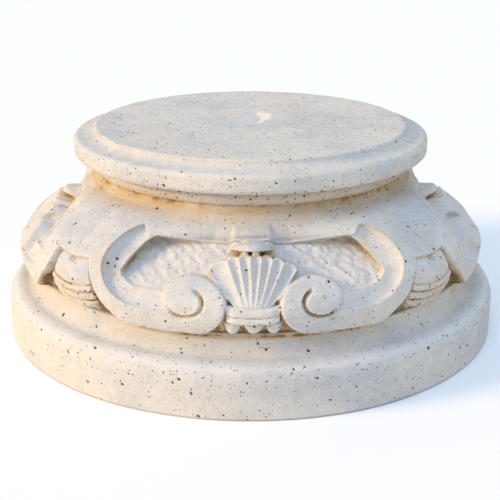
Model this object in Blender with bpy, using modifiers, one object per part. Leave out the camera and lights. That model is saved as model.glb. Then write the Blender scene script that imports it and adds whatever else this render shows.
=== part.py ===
"""Garden pedestal: a round plinth of pale cast stone with carved shells, scrolls and corner buds.

The whole object is one casting. A turned foot, a turned top and a turned body, whose surface is
carved by a relief function, are united into one solid. Lengths are in metres. The carving is
worked out in millimetres on the unrolled body: across is the distance from the middle of the
nearest shell, and down is the distance along the body's outline from the neck.
"""

import math

import bmesh
import bpy
import numpy as np

# Foot slab
FOOT_RADIUS = 0.210
FOOT_HEIGHT = 0.0417
FOOT_EDGE_ROUND = 0.0135
FOOT_ARRIS = 0.0015
RISER_FOOT_RADIUS = 0.1945
RISER_TOP_RADIUS = 0.1855
RISER_HEIGHT = 0.0160

# Round top
TOP_HEIGHT = 0.1713
SEAT_RADIUS = 0.1315
SEAT_ROUND = 0.0022
TOP_HOLLOW_DROP = 0.0067
BAND_RADIUS = 0.1490
BAND_HEIGHT = 0.0160
BAND_ROUND = 0.0045
BEAD_RADIUS = 0.1350
BEAD_HEIGHT = 0.0122
BEAD_BULGE = 0.0030

# Carved body before it is carved
NECK_RADIUS = 0.1300
BELLY_RADIUS = 0.1980
BELLY_HEIGHT = 0.0790
SHOULDER_CURVE = (
    (0.018, 0.962),
    (0.065, 0.930),
    (0.343, 0.828),
    (0.559, 0.680),
    (0.806, 0.453),
    (0.946, 0.234),
)
UNDERCUT_CURVE = ((0.030, 0.587), (0.130, 0.290), (0.340, 0.096))
UNDERCUT = 0.0120
UNDERSIDE_HEIGHT = 0.0570
QUARTERS = 4

# Neck, niche and hollow border, in millimetres: place and how far it is cut straight back
NECK_SINK = ((8.0, 0.0), (15.0, 6.0), (31.0, 16.0), (36.0, 20.0), (41.0, 26.0))
NECK_FADE = ((35.0, 1.0), (83.0, 0.38), (111.0, 0.0))
NICHE_SINK = ((41.0, 25.0), (52.0, 24.0), (62.0, 23.0), (70.0, 19.0), (78.0, 14.0), (84.0, 11.0))
NICHE_TOP = 40.5
NICHE_CORNER = 85.0
NICHE_CORNER_BEND = 0.09
HOLLOW_CORNER = 94.0
HOLLOW_RISE = 0.85
HOLLOW_END = 13.0
SCROLL_CENTRE = (84.5, 63.0)
SCROLL_RADIUS = 38.5
SCROLL_SQUASH = 1.14
SCROLL_UPPER_FADE = (-25.0, 5.0)
HOLLOW_WIDTH = 15.0
HOLLOW_SINK = 9.0
HOLLOW_STEP_WIDTH = 3.0
HOOD_BULGE = 5.0
HOOD_BULGE_PLACE = (121.0, 16.0)
HOOD_BULGE_SPAN = ((32.0, 58.0), (66.0, 84.0))
SINK_OUT = 0.94
SINK_DOWN = 0.34

# Raised and cut forms, in millimetres
HOOD_PROUD = 2.2
HOOD_SPAN = (16.0, 40.0)
HOOD_VALLEY = (1.8, 8.0)
HOOD_VALLEY_SPAN = ((18.0, 30.0), (44.0, 62.0))
VALLEY_DEPTH = 8.0
VALLEY_TOP = 81.0
VOLUTE_CENTRE = (48.5, 89.0)
VOLUTE_RADII = (33.0, 29.5, 23.0, 17.0, 14.0)
VOLUTE_SWELL = (40.0, 1.2, 0.8)
VOLUTE_SQUASH = 1.15
VOLUTE_SINK = ((60.0, 12.0), (68.0, 10.2), (76.0, 7.0), (86.0, 3.0), (92.0, 0.8), (98.0, 0.0))
GROOVE_RADII = (15.0, 12.4, 12.2, 11.0)
GROOVE_DEPTH = 3.2
GROOVE_HALF_WIDTH = 1.7
SHELL_POLE = 108.0
SHELL_RADIUS = 59.0
SHELL_SPREAD = 40.5
SHELL_RIDGES = (-38.5, -21.0, -11.5, -1.8, 7.5, 17.0, 26.5, 38.5)
SHELL_SINK = ((13.0, 0.5), (22.0, 3.8), (28.0, 6.5), (36.0, 8.0), (60.0, 9.3))
SHELL_BOW = 2.0
SHELL_BOW_SPAN = (14.0, 50.0)
SHELL_FLUTE_DEPTH = 3.4
SHELL_FLUTE_SPAN = (14.0, 40.0)
SHELL_LOBE = 2.6
SHELL_END = 7.0
COLLAR_HALF_WIDTH = 19.0
COLLAR_ROLLS = ((95.0, 3.7, 2.6), (101.3, 2.9, 2.0))
COLLAR_BOW = 1.5
COLLAR_SINK = ((90.0, 4.6), (95.0, 3.4), (101.0, 1.2), (106.0, 0.0))
SCALLOPS = ((-15.0, 6.5), (0.5, 7.8), (15.0, 6.5))
SCALLOP_SPAN = (103.5, 113.0)
SCALLOP_LEVELS = (-6.5, -2.0)
BOSS_HALF_WIDTH = 20.5
BOSS_CREST = 43.0
BOSS_CREST_BOW = 4.0
BOSS_RISE = 2.5
BOSS_FOOT = 48.5
BOSS_FOOT_BOW = 2.5
BOSS_SINK = 9.0
BOSS_SINK_BOW = 11.0
BOSS_BLUNT = 1.5
PAD_TOP = 14.0
PAD_RISE = 24.0
PAD_PROUD = 3.4
BUD_TOP = 71.5
BUD_LEVELS = (69.5, 80.5, 92.5, 103.0, 114.0)
BUD_WIDTHS = (17.0, 20.5, 25.0, 28.0, 24.0)
BUD_ROLLS = ((72.0, 94.0, -1.0), (94.0, 100.0, -1.2), (100.0, 107.0, -2.8), (107.0, 115.0, -4.6))
BUD_BOW = 4.0
BUD_ROUND = (0.8, 3.5)
BUD_NOTCH = (3.5, 2.5)
CREVICE_WIDTHS = (18.4, 24.3, 31.5, 42.0, 56.0)
CREVICE_DEPTH = 9.5
RELIEF_START = (2.0, 9.0)

# Shallow broken pocket in the seat, in millimetres
POCKET_OUTLINE = (
    (-34.0, -24.0),
    (-8.0, -18.0),
    (3.0, -14.0),
    (9.0, -8.0),
    (17.0, 9.0),
    (19.0, 25.0),
    (7.0, 37.0),
    (-5.0, 31.0),
)
POCKET_FLOOR = ((-3.0, -9.0), (1.0, 24.0))
POCKET_DEPTH = 6.0

# Mesh fineness
TURNED_STEPS = 80
BLANK_STEPS = 640
BLANK_ROWS = 96
BODY_TRIANGLES = 5250

STONE_COLOUR = (0.76, 0.70, 0.61, 1.0)
STONE_ROUGHNESS = 0.9

MM = 0.001
MERGE = 0.00001
QUARTER_TURN = math.pi / 2
GIRTH = BELLY_RADIUS / MM
HALF_QUARTER = GIRTH * math.pi / QUARTERS


def remove_all_objects():
    for obj in list(bpy.data.objects):
        bpy.data.objects.remove(obj, do_unlink=True)


def new_collection(name):
    collection = bpy.data.collections.new(name)
    bpy.context.scene.collection.children.link(collection)
    return collection


def stone_material():
    material = bpy.data.materials.new("cast_stone")
    material.use_nodes = True
    shader = material.node_tree.nodes["Principled BSDF"]
    shader.inputs["Base Color"].default_value = STONE_COLOUR
    shader.inputs["Roughness"].default_value = STONE_ROUGHNESS
    shader.inputs["Metallic"].default_value = 0.0
    return material


def quarter_arc(start, end, steps, hollow):
    """Points of a quarter ellipse from start to end, leaving start upright where it is hollow."""
    points = []
    for i in range(steps + 1):
        turn = QUARTER_TURN * i / steps
        out = 1 - math.cos(turn) if hollow else math.sin(turn)
        fall = math.sin(turn) if hollow else 1 - math.cos(turn)
        points.append((start[0] + (end[0] - start[0]) * out, start[1] + (end[1] - start[1]) * fall))
    return points


def smooth_curve(points, samples):
    """Points at equal distances along a smooth curve through the given points."""
    ends = [2 * np.array(points[0]) - points[1], *map(np.array, points)]
    ends.append(2 * ends[-1] - ends[-2])
    dense = []
    for a, b, c, d in zip(ends, ends[1:], ends[2:], ends[3:]):
        for t in np.linspace(0, 1, 24, endpoint=False):
            bend = 2 * a - 5 * b + 4 * c - d + (3 * b - a - 3 * c + d) * t
            dense.append(b + 0.5 * t * (c - a + t * bend))
    dense = np.array([*dense, ends[-2]])
    run = np.concatenate([[0], np.cumsum(np.hypot(*np.diff(dense, axis=0).T))])
    at = np.linspace(0, run[-1], samples)
    return np.column_stack([np.interp(at, run, dense[:, 0]), np.interp(at, run, dense[:, 1])])


def turned(name, profile, steps, collection):
    """A solid of revolution, from an outline that runs from the axis at the top to the axis below."""
    mesh = bpy.data.meshes.new(name)
    edges = [(i, i + 1) for i in range(len(profile) - 1)]
    mesh.from_pydata([(r, 0.0, z) for r, z in profile], edges, [])
    obj = bpy.data.objects.new(name, mesh)
    collection.objects.link(obj)
    screw = obj.modifiers.new("turn", "SCREW")
    screw.steps = steps
    screw.render_steps = steps
    screw.use_merge_vertices = True
    screw.merge_threshold = MERGE
    return obj


def hide_helper(obj):
    obj.hide_render = True
    obj.display_type = "WIRE"


def foot_profile():
    """The foot slab, with the hollow riser that carries the body."""
    riser_top = FOOT_HEIGHT + RISER_HEIGHT
    points = [(0.0, riser_top)]
    points += quarter_arc((RISER_TOP_RADIUS, riser_top), (RISER_FOOT_RADIUS, FOOT_HEIGHT), 3, True)
    edge_top = (FOOT_RADIUS - FOOT_EDGE_ROUND, FOOT_HEIGHT)
    points += quarter_arc(edge_top, (FOOT_RADIUS, FOOT_HEIGHT - FOOT_EDGE_ROUND), 4, False)
    points += [(FOOT_RADIUS, FOOT_ARRIS), (FOOT_RADIUS - FOOT_ARRIS, 0.0), (0.0, 0.0)]
    return points


def top_profile():
    """The round top: flat seat, hollow, band and bead."""
    hollow_foot = TOP_HEIGHT - TOP_HOLLOW_DROP
    band_foot = hollow_foot - BAND_HEIGHT
    bead_foot = band_foot - BEAD_HEIGHT
    band_edge = BAND_RADIUS - BAND_ROUND
    seat_edge = (SEAT_RADIUS - SEAT_ROUND, TOP_HEIGHT)
    points = [(0.0, TOP_HEIGHT)]
    points += quarter_arc(seat_edge, (SEAT_RADIUS, TOP_HEIGHT - SEAT_ROUND), 2, False)
    points += quarter_arc(points[-1], (band_edge, hollow_foot), 3, True)[1:]
    points += quarter_arc(points[-1], (BAND_RADIUS, hollow_foot - BAND_ROUND), 2, False)[1:]
    lower = quarter_arc((band_edge, band_foot), (BAND_RADIUS, band_foot + BAND_ROUND), 2, False)
    points += lower[::-1]
    bead = BEAD_RADIUS - BEAD_BULGE
    for i in range(5):
        turn = math.pi * i / 4
        points.append((bead + BEAD_BULGE * math.sin(turn), band_foot - BEAD_HEIGHT * i / 4))
    points.append((0.0, bead_foot))
    return points


def body_profile():
    """The body's outline from the neck to the underside, and the closed ends inside top and foot."""
    neck_height = TOP_HEIGHT - TOP_HOLLOW_DROP - BAND_HEIGHT - BEAD_HEIGHT
    width = BELLY_RADIUS - NECK_RADIUS
    rise = neck_height - BELLY_HEIGHT
    fall = BELLY_HEIGHT - UNDERSIDE_HEIGHT
    points = [(NECK_RADIUS, neck_height)]
    points += [(NECK_RADIUS + width * out, BELLY_HEIGHT + rise * up) for out, up in SHOULDER_CURVE]
    points.append((BELLY_RADIUS, BELLY_HEIGHT))
    for back, up in UNDERCUT_CURVE:
        points.append((BELLY_RADIUS - UNDERCUT * back, UNDERSIDE_HEIGHT + fall * up))
    points.append((BELLY_RADIUS - UNDERCUT, UNDERSIDE_HEIGHT))
    outline = smooth_curve(points, BLANK_ROWS)
    inside_top = neck_height + BEAD_HEIGHT
    inside_foot = FOOT_HEIGHT + RISER_HEIGHT / 2
    top_end = [(0.0, inside_top), (NECK_RADIUS - BEAD_BULGE, inside_top)]
    sunk = RISER_TOP_RADIUS - RISER_HEIGHT
    return top_end, outline, [(sunk, inside_foot), (0.0, inside_foot)]


def smooth(low, high, x):
    t = np.clip((x - low) / (high - low), 0.0, 1.0)
    return t * t * (3.0 - 2.0 * t)


def dome(x, half_width):
    """A round hump of height one across a strip of this half width."""
    return np.sqrt(np.clip(1.0 - (x / half_width) ** 2, 0.0, 1.0))


def read_pairs(value, pairs):
    """The second number of each pair, read at a value of the first."""
    return np.interp(value, [pair[0] for pair in pairs], [pair[1] for pair in pairs])


def rise_and_fall(value, span):
    """From zero to one across the first pair of the span, and back across the second."""
    return smooth(*span[0], value) * (1 - smooth(*span[1], value))


def sink(side, down):
    """How far the wall is cut straight back into the neck, the hollow border and the niche."""
    neck = read_pairs(down, NECK_SINK) * read_pairs(side, NECK_FADE)
    beyond = side - SCROLL_CENTRE[0]
    level = down - SCROLL_CENTRE[1]
    level = np.where(level < 0, level * smooth(*SCROLL_UPPER_FADE, beyond), level * SCROLL_SQUASH)
    inside = SCROLL_RADIUS - np.hypot(np.maximum(beyond, 0), level)
    border = HOLLOW_SINK * dome(1 - np.clip(inside / HOLLOW_WIDTH, 0, 1), 1)
    hollow_top = NICHE_TOP - HOLLOW_RISE * np.clip(side - HOLLOW_CORNER, 0, HOLLOW_END)
    low = smooth(-1.2, 1.8, down - hollow_top)
    lip = NICHE_TOP + NICHE_CORNER_BEND * np.clip(side - NICHE_CORNER, 0, None) ** 2
    deep = smooth(0, HOLLOW_STEP_WIDTH, inside - HOLLOW_WIDTH) * smooth(-1.0, 1.2, down - lip)
    floor = np.maximum(read_pairs(down, NICHE_SINK), border)
    bulge = np.exp(-(((side - HOOD_BULGE_PLACE[0]) / HOOD_BULGE_PLACE[1]) ** 2))
    bulge = HOOD_BULGE * bulge * rise_and_fall(down, HOOD_BULGE_SPAN)
    return (neck * (1 - low) + border * low) * (1 - deep) + floor * deep - bulge


def volute(side, down, height, sunk):
    """The rolled end of the scroll, which stands free of the niche."""
    out = VOLUTE_CENTRE[0] - side
    rise = (VOLUTE_CENTRE[1] - down) * VOLUTE_SQUASH
    reach = np.hypot(rise, out)
    quarter = np.arctan2(rise, out) / QUARTER_TURN
    first = np.where(quarter < -1, quarter + 4, quarter) + 1
    rim = np.interp(first, range(len(VOLUTE_RADII)), VOLUTE_RADII)
    rolled = smooth(-1.2, 1.6, rim - reach)
    swell_reach, swell, swell_foot = VOLUTE_SWELL
    height = height * (1 - rolled) + (swell * dome(reach, swell_reach) - swell_foot) * rolled
    late = np.where(quarter < 1.2, quarter + 4, quarter)
    groove = np.interp(late, (2, 3, 4, 5), GROOVE_RADII)
    cut = GROOVE_DEPTH * smooth(1.9, 2.7, late) * (1 - smooth(4.5, 4.8, late))
    height = height - cut * dome(reach - groove, GROOVE_HALF_WIDTH)
    return height, sunk * (1 - rolled) + read_pairs(down, VOLUTE_SINK) * rolled


def shell(across, down, height, sunk):
    """The fluted fan, which stands free of the niche."""
    rise = SHELL_POLE - down
    reach = np.hypot(across, rise)
    angle = np.degrees(np.arctan2(across, rise))
    ridges = np.array(SHELL_RIDGES)
    place = np.clip(np.searchsorted(ridges, angle) - 1, 0, len(ridges) - 2)
    part = np.clip((angle - ridges[place]) / np.diff(ridges)[place], 0, 1)
    scoop = np.sin(math.pi * part) ** 0.7
    rim = SHELL_RADIUS - SHELL_LOBE * (1 - scoop)
    end = np.sqrt(np.clip((rim - reach) / SHELL_END, 0, 1))
    start, full = SHELL_FLUTE_SPAN
    flute = SHELL_FLUTE_DEPTH * scoop * end * np.clip((reach - start) / (full - start), 0.15, 1.0)
    fan = smooth(-0.4, 1.2, rim - reach) * smooth(0, 2.5, SHELL_SPREAD - np.abs(angle))
    fan = fan * (down < COLLAR_ROLLS[0][0])
    bow = SHELL_BOW * (angle / ridges[-1]) ** 2 * smooth(*SHELL_BOW_SPAN, reach)
    return height * (1 - fan) - flute * fan, sunk * (1 - fan) + (read_pairs(reach, SHELL_SINK) + bow) * fan


def collar(across, down, height, sunk):
    """The two rolls that tie the fan, and the scallops below them."""
    between = np.abs(across) < COLLAR_HALF_WIDTH
    for middle, half, proud in COLLAR_ROLLS:
        bow = middle - COLLAR_BOW * (across / COLLAR_HALF_WIDTH) ** 2
        roll = proud * dome(down - bow, half) - 2.0 * smooth(13, 20, np.abs(across))
        held = between & (np.abs(down - bow) < half)
        height, sunk = np.where(held, roll, height), np.where(held, read_pairs(down, COLLAR_SINK), sunk)
    for middle, half in SCALLOPS:
        hang = dome(across - middle, half)
        tip = SCALLOP_SPAN[0] + (SCALLOP_SPAN[1] - SCALLOP_SPAN[0]) * hang
        lobe = SCALLOP_LEVELS[0] + (SCALLOP_LEVELS[1] - SCALLOP_LEVELS[0]) * hang
        held = (down > SCALLOP_SPAN[0]) & (down < tip) & (hang > 0.1)
        height = np.where(held, lobe, height)
    return height, sunk


def boss(across, down, height, sunk):
    """The plain block above the shell: a low pad on the neck that ends free over the niche."""
    side = BOSS_HALF_WIDTH - np.abs(across)
    bow = np.clip(across / BOSS_HALF_WIDTH, -1, 1) ** 2
    foot = BOSS_FOOT - BOSS_FOOT_BOW * bow - down
    crest = BOSS_CREST + BOSS_CREST_BOW * bow
    held = smooth(0, 3.5, side) * smooth(-BOSS_RISE, 0, down - crest) * smooth(-0.5, 2.0, foot)
    blunt = BOSS_BLUNT * smooth(6, 0, foot) + BOSS_SINK_BOW * bow
    pad = PAD_PROUD * smooth(0, 5, side) * smooth(PAD_TOP, PAD_TOP + PAD_RISE, down) * (foot > 0)
    return (height + pad) * (1 - held), sunk * (1 - held) + (BOSS_SINK + blunt) * held


def bud(away, down, height):
    """The hanging bud at each corner, with the crevice round it. Away is from the corner."""
    half = np.interp(down, BUD_LEVELS, CREVICE_WIDTHS)
    inside = np.minimum(down - BUD_TOP + 0.15 * away, half - away)
    height = height - CREVICE_DEPTH * smooth(0, 3, inside)
    width = np.interp(down, BUD_LEVELS, BUD_WIDTHS)
    curved = down + BUD_BOW * (away / width) ** 2
    for top, foot, level in BUD_ROLLS:
        middle, reach = (top + foot) / 2, (foot - top) / 2
        round_down = BUD_ROUND[0] * (1 - dome(curved - middle, reach))
        form = level - round_down - BUD_ROUND[1] * (1 - dome(away, width))
        held = (np.abs(curved - middle) < reach) & (away < width)
        height = np.where(held, np.maximum(form, height), height)
    notch_half, notch_depth = BUD_NOTCH
    notch = dome(away, notch_half) * (1 - smooth(BUD_TOP + notch_half, BUD_TOP + 2 * notch_half, down))
    return height - notch_depth * notch * (down > BUD_TOP)


def relief(across, down):
    """Height of the carving over the turned surface and how far it is sunk, in millimetres."""
    side = np.abs(across)
    height = HOOD_PROUD * (smooth(*HOOD_SPAN, down) - 1)
    sunk = sink(side, down)
    depth, width = HOOD_VALLEY
    corner = np.exp(-(((HALF_QUARTER - side) / width) ** 2))
    height = height - depth * corner * rise_and_fall(down, HOOD_VALLEY_SPAN)
    valley = (side < VOLUTE_CENTRE[0]) & (down > VALLEY_TOP)
    height, sunk = np.where(valley, -VALLEY_DEPTH, height), np.where(valley, 0, sunk)
    height, sunk = volute(side, down, height, sunk)
    height, sunk = shell(across, down, height, sunk)
    height, sunk = collar(across, down, height, sunk)
    height, sunk = boss(across, down, height, sunk)
    height = bud(HALF_QUARTER - side, down, height)
    return height * smooth(*RELIEF_START, down), sunk


def carve(mesh, outline):
    """Moves each vertex of the turned blank by the relief and the sink there."""
    points = np.empty(len(mesh.vertices) * 3)
    mesh.vertices.foreach_get("co", points)
    points = points.reshape(-1, 3)
    radius = np.hypot(points[:, 0], points[:, 1])
    angle = np.arctan2(points[:, 0], -points[:, 1])
    run = np.concatenate([[0], np.cumsum(np.hypot(*np.diff(outline, axis=0).T))])
    tangent = np.gradient(outline, axis=0)
    normal = np.column_stack([-tangent[:, 1], np.maximum(tangent[:, 0], 0)])
    normal /= np.hypot(*normal.T)[:, None]
    gap = (radius[:, None] - outline[:, 0]) ** 2 + (points[:, 2, None] - outline[:, 1]) ** 2
    row = gap.argmin(axis=1)
    on_outline = gap[np.arange(len(row)), row] < MERGE**2
    quarter = 2 * math.pi / QUARTERS
    local = np.mod(angle + quarter / 2, quarter) - quarter / 2
    height, sunk = (value * MM * on_outline for value in relief(local * GIRTH, run[row] / MM))
    radius = radius + height * normal[row, 0]
    back = SINK_OUT * sunk
    points[:, 0] = radius * np.sin(angle) - back * np.sin(angle - local)
    points[:, 1] = back * np.cos(angle - local) - radius * np.cos(angle)
    points[:, 2] += height * normal[row, 1] - SINK_DOWN * sunk
    mesh.vertices.foreach_set("co", points.ravel())
    mesh.update()


def carved_body(collection):
    top_end, outline, foot_end = body_profile()
    profile = [*top_end, *map(tuple, outline), *foot_end]
    blank = turned("body_blank", profile, BLANK_STEPS, collection)
    graph = bpy.context.evaluated_depsgraph_get()
    mesh = bpy.data.meshes.new_from_object(blank.evaluated_get(graph))
    bpy.data.objects.remove(blank, do_unlink=True)
    carve(mesh, outline)
    mesh.name = "pedestal"
    return bpy.data.objects.new("pedestal", mesh)


def pocket_cutter(collection):
    """A tilted wedge: a ramp that falls to the floor line, and a steep wall beyond it."""
    top = TOP_HEIGHT / MM
    corners = [(x, y, top + lift) for x, y in POCKET_OUTLINE for lift in (0.0, POCKET_DEPTH)]
    corners += [(x, y, top - POCKET_DEPTH) for x, y in POCKET_FLOOR]
    form = bmesh.new()
    for corner in corners:
        form.verts.new([value * MM for value in corner])
    hull = bmesh.ops.convex_hull(form, input=form.verts)
    inner = [item for item in hull["geom_interior"] if isinstance(item, bmesh.types.BMVert)]
    bmesh.ops.delete(form, geom=inner, context="VERTS")
    bmesh.ops.recalc_face_normals(form, faces=form.faces)
    mesh = bpy.data.meshes.new("seat_pocket")
    form.to_mesh(mesh)
    form.free()
    cutter = bpy.data.objects.new("seat_pocket", mesh)
    collection.objects.link(cutter)
    return cutter


def combine(obj, other, operation):
    modifier = obj.modifiers.new(other.name, "BOOLEAN")
    modifier.operation = operation
    modifier.solver = "EXACT"
    modifier.object = other


def main():
    remove_all_objects()
    parts = new_collection("garden_pedestal")
    helpers = new_collection("cutters")
    pedestal = carved_body(helpers)
    parts.objects.link(pedestal)
    thin = pedestal.modifiers.new("thin", "DECIMATE")
    triangles = sum(len(face.vertices) - 2 for face in pedestal.data.polygons)
    thin.ratio = BODY_TRIANGLES / triangles
    foot = turned("foot_blank", foot_profile(), TURNED_STEPS, helpers)
    top = turned("top_blank", top_profile(), TURNED_STEPS, helpers)
    combine(pedestal, foot, "UNION")
    combine(pedestal, top, "UNION")
    pocket = pocket_cutter(helpers)
    combine(pedestal, pocket, "DIFFERENCE")
    for helper in (foot, top, pocket):
        hide_helper(helper)
    pedestal.data.shade_smooth()
    pedestal.data.set_sharp_from_angle(angle=math.radians(35))
    pedestal.data.materials.clear()
    pedestal.data.materials.append(stone_material())


main()
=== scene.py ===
# %% [markdown]
# A garden pedestal of pale cast stone.
# On the real object a thick round foot carries a swelling body, carved with four shells, eight
# scrolls and four hanging buds, and a round top with a flat seat closes it. All of it is one
# casting. Here the foot and the top are turned like pots on a wheel. The body is one carved
# quarter, worked out as heights over a turned outline, and repeated four times round the axis.
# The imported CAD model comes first, because it fixes the size and the place of every piece.

import math

import bpy
import numpy as np
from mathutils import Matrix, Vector


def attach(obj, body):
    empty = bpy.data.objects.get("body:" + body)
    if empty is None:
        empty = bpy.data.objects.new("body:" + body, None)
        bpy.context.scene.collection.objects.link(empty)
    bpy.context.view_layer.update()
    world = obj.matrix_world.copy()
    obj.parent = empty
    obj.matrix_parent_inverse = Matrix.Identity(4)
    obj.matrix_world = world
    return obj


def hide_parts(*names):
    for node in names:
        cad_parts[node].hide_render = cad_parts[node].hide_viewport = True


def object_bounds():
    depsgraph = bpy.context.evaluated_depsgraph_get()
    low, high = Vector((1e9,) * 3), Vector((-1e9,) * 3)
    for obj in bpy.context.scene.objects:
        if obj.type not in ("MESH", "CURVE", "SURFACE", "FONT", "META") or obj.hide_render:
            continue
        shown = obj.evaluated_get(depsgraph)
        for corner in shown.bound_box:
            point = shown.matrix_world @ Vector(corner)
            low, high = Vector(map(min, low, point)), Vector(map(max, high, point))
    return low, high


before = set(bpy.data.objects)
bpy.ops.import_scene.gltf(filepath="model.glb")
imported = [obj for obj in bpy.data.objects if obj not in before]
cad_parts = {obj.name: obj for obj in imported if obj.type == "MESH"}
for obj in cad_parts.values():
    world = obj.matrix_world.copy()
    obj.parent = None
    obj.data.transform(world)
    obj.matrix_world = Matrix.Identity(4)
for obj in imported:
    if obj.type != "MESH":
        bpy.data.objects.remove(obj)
cad_low, cad_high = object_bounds()
MM = 0.001
foot_radius = cad_high.x / MM
top_height = cad_high.z / MM
print("foot radius", round(foot_radius, 2), "mm, height", round(top_height, 2), "mm")

# %% [markdown]
# The body's outline.
# Before it is carved, the body is a turned form: a narrow neck that swells to a belly and tucks
# in above the foot. A curve object could draw it, but the carving needs to know, at each point,
# how far it is down the surface. So the outline is a smooth curve through a few measured points,
# sampled at equal steps.

# %% Outline of the body
neck_radius, belly_radius = 130.0, 198.0
neck_height, belly_height, underside_height = 136.4, 79.0, 57.0
shoulder = ((0.018, 0.962), (0.065, 0.930), (0.343, 0.828), (0.559, 0.680), (0.806, 0.453), (0.946, 0.234))
tuck = ((0.030, 0.587), (0.130, 0.290), (0.340, 0.096), (1.0, 0.0))
tuck_depth = 12.0
body_rows = 200


def smooth_curve(points, samples):
    """Points at equal distances along a smooth curve through the given points."""
    ends = [2 * np.array(points[0]) - points[1], *map(np.array, points)]
    ends.append(2 * ends[-1] - ends[-2])
    dense = []
    for a, b, c, d in zip(ends, ends[1:], ends[2:], ends[3:]):
        for t in np.linspace(0, 1, 24, endpoint=False):
            bend = 2 * a - 5 * b + 4 * c - d + (3 * b - a - 3 * c + d) * t
            dense.append(b + 0.5 * t * (c - a + t * bend))
    dense = np.array([*dense, ends[-2]])
    run = np.concatenate([[0], np.cumsum(np.hypot(*np.diff(dense, axis=0).T))])
    at = np.linspace(0, run[-1], samples)
    return np.column_stack([np.interp(at, run, dense[:, 0]), np.interp(at, run, dense[:, 1])])


outline_points = [(neck_radius, neck_height)]
for out, up in shoulder:
    outline_points.append(
        (neck_radius + (belly_radius - neck_radius) * out, belly_height + (neck_height - belly_height) * up)
    )
outline_points.append((belly_radius, belly_height))
for back, up in tuck:
    outline_points.append(
        (belly_radius - tuck_depth * back, underside_height + (belly_height - underside_height) * up)
    )
body_outline = smooth_curve(outline_points, body_rows)
down_mm = np.concatenate([[0], np.cumsum(np.hypot(*np.diff(body_outline, axis=0).T))])
print("outline runs", round(down_mm[-1], 1), "mm from neck to underside")

# %% [markdown]
# Measures on the unrolled body.
# The carving is drawn on the surface as if it were unrolled: across is the distance to the
# right of the nearest shell's middle, side is the same without its sign, and down is the
# distance from the neck. A few small functions shape everything: ease goes softly from zero to
# one, dome is a round hump across a strip, near is one at a value and fades to both sides, and
# pairs_at reads a value off a line through pairs of numbers. Patches gives smooth random values
# for the uneven work of the tool, and always the same ones, because its seeds are fixed.

# %% Helpers that shape the carving
quarters = 4
half_quarter = belly_radius * math.pi / quarters


def ease(low, high, x):
    t = np.clip((x - low) / (high - low), 0.0, 1.0)
    return t * t * (3.0 - 2.0 * t)


def dome(x, half_width):
    return np.sqrt(np.clip(1.0 - (x / half_width) ** 2, 0.0, 1.0))


def near(value, middle, reach):
    return 1 - ease(0, reach, np.abs(value - middle))


def pairs_at(pairs, x):
    return np.interp(x, *zip(*pairs))


def patches(u, v, seed):
    """Smooth random values from -1 to 1, one for each corner of a grid of unit squares."""
    table = np.random.default_rng(seed).uniform(-1, 1, (64, 64))
    i, j = np.floor(u).astype(int), np.floor(v).astype(int)
    a, b = ease(0, 1, u - i), ease(0, 1, v - j)
    corner = [[table[(i + p) % 64, (j + q) % 64] for q in (0, 1)] for p in (0, 1)]
    left = corner[0][0] * (1 - b) + corner[0][1] * b
    right = corner[1][0] * (1 - b) + corner[1][1] * b
    return left * (1 - a) + right * a


print("half a quarter is", round(half_quarter, 1), "mm wide at the belly")

# %% [markdown]
# The niche behind each shell.
# The middle of every quarter is cut deep: the neck falls back to it, and a wide hollow border
# runs round it like the inside of a shell's lip. The carver cut it straight back, so the depth
# is not a height over the surface but a sink, measured along the quarter's own axis and a
# little downwards. Each depth is read from a few pairs of place and sink.

# %% Neck, niche and hollow border
neck_sink = ((8, 0.0), (15, 6.0), (31, 16.0), (36, 20.0), (41, 26.0))
neck_fade = ((35, 1.0), (83, 0.38), (111, 0.0))
niche_sink = ((41, 25.0), (52, 24.0), (62, 23.0), (70, 19.0), (78, 14.0), (84, 11.0))
niche_top, hollow_rise = 40.5, 0.85
scroll_across, scroll_down, scroll_radius, scroll_squash = 84.5, 63.0, 38.5, 1.14
upper_edge_fade, corner_across, corner_width = (-25, 5), 94, 13
hollow_width, hollow_sink, hollow_edge, step_width = 15.0, 9.0, (-1.2, 1.8), 3.0
lip_across, lip_bend, lip_edge = 85, 0.09, (-1.0, 1.2)
hood_bulge, bulge_across, bulge_width = 5.0, 121.0, 16.0
bulge_starts, bulge_ends = (32, 58), (66, 84)


def sink(side, down):
    """How far the wall is cut straight back, in millimetres."""
    neck = pairs_at(neck_sink, down) * pairs_at(neck_fade, side)
    beyond = side - scroll_across
    level = down - scroll_down
    level = np.where(level < 0, level * ease(*upper_edge_fade, beyond), level * scroll_squash)
    inside = scroll_radius - np.hypot(np.maximum(beyond, 0), level)
    border = hollow_sink * dome(1 - np.clip(inside / hollow_width, 0, 1), 1.0)
    rise = hollow_rise * np.clip(side - corner_across, 0, corner_width)
    low = ease(*hollow_edge, down - niche_top + rise)
    lip = niche_top + lip_bend * np.clip(side - lip_across, 0, None) ** 2
    deep = ease(0, step_width, inside - hollow_width) * ease(*lip_edge, down - lip)
    floor = np.maximum(pairs_at(niche_sink, down), border)
    bulge = np.exp(-((side - bulge_across) / bulge_width) ** 2)
    bulge = bulge * ease(*bulge_starts, down) * (1 - ease(*bulge_ends, down))
    return (neck * (1 - low) + border * low) * (1 - deep) + floor * deep - hood_bulge * bulge


print("niche", niche_sink[1][1], "mm deep, hollow border", hollow_width, "mm wide")

# %% [markdown]
# The rolled scroll ends.
# Each scroll ends in a volute beside the shell. Its rim is a spiral: the distance from its eye
# shrinks with the angle, which is how a volute is drawn with a compass. The same rule places
# the groove that winds inside it. Angles are counted in quarter turns round the eye.

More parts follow.
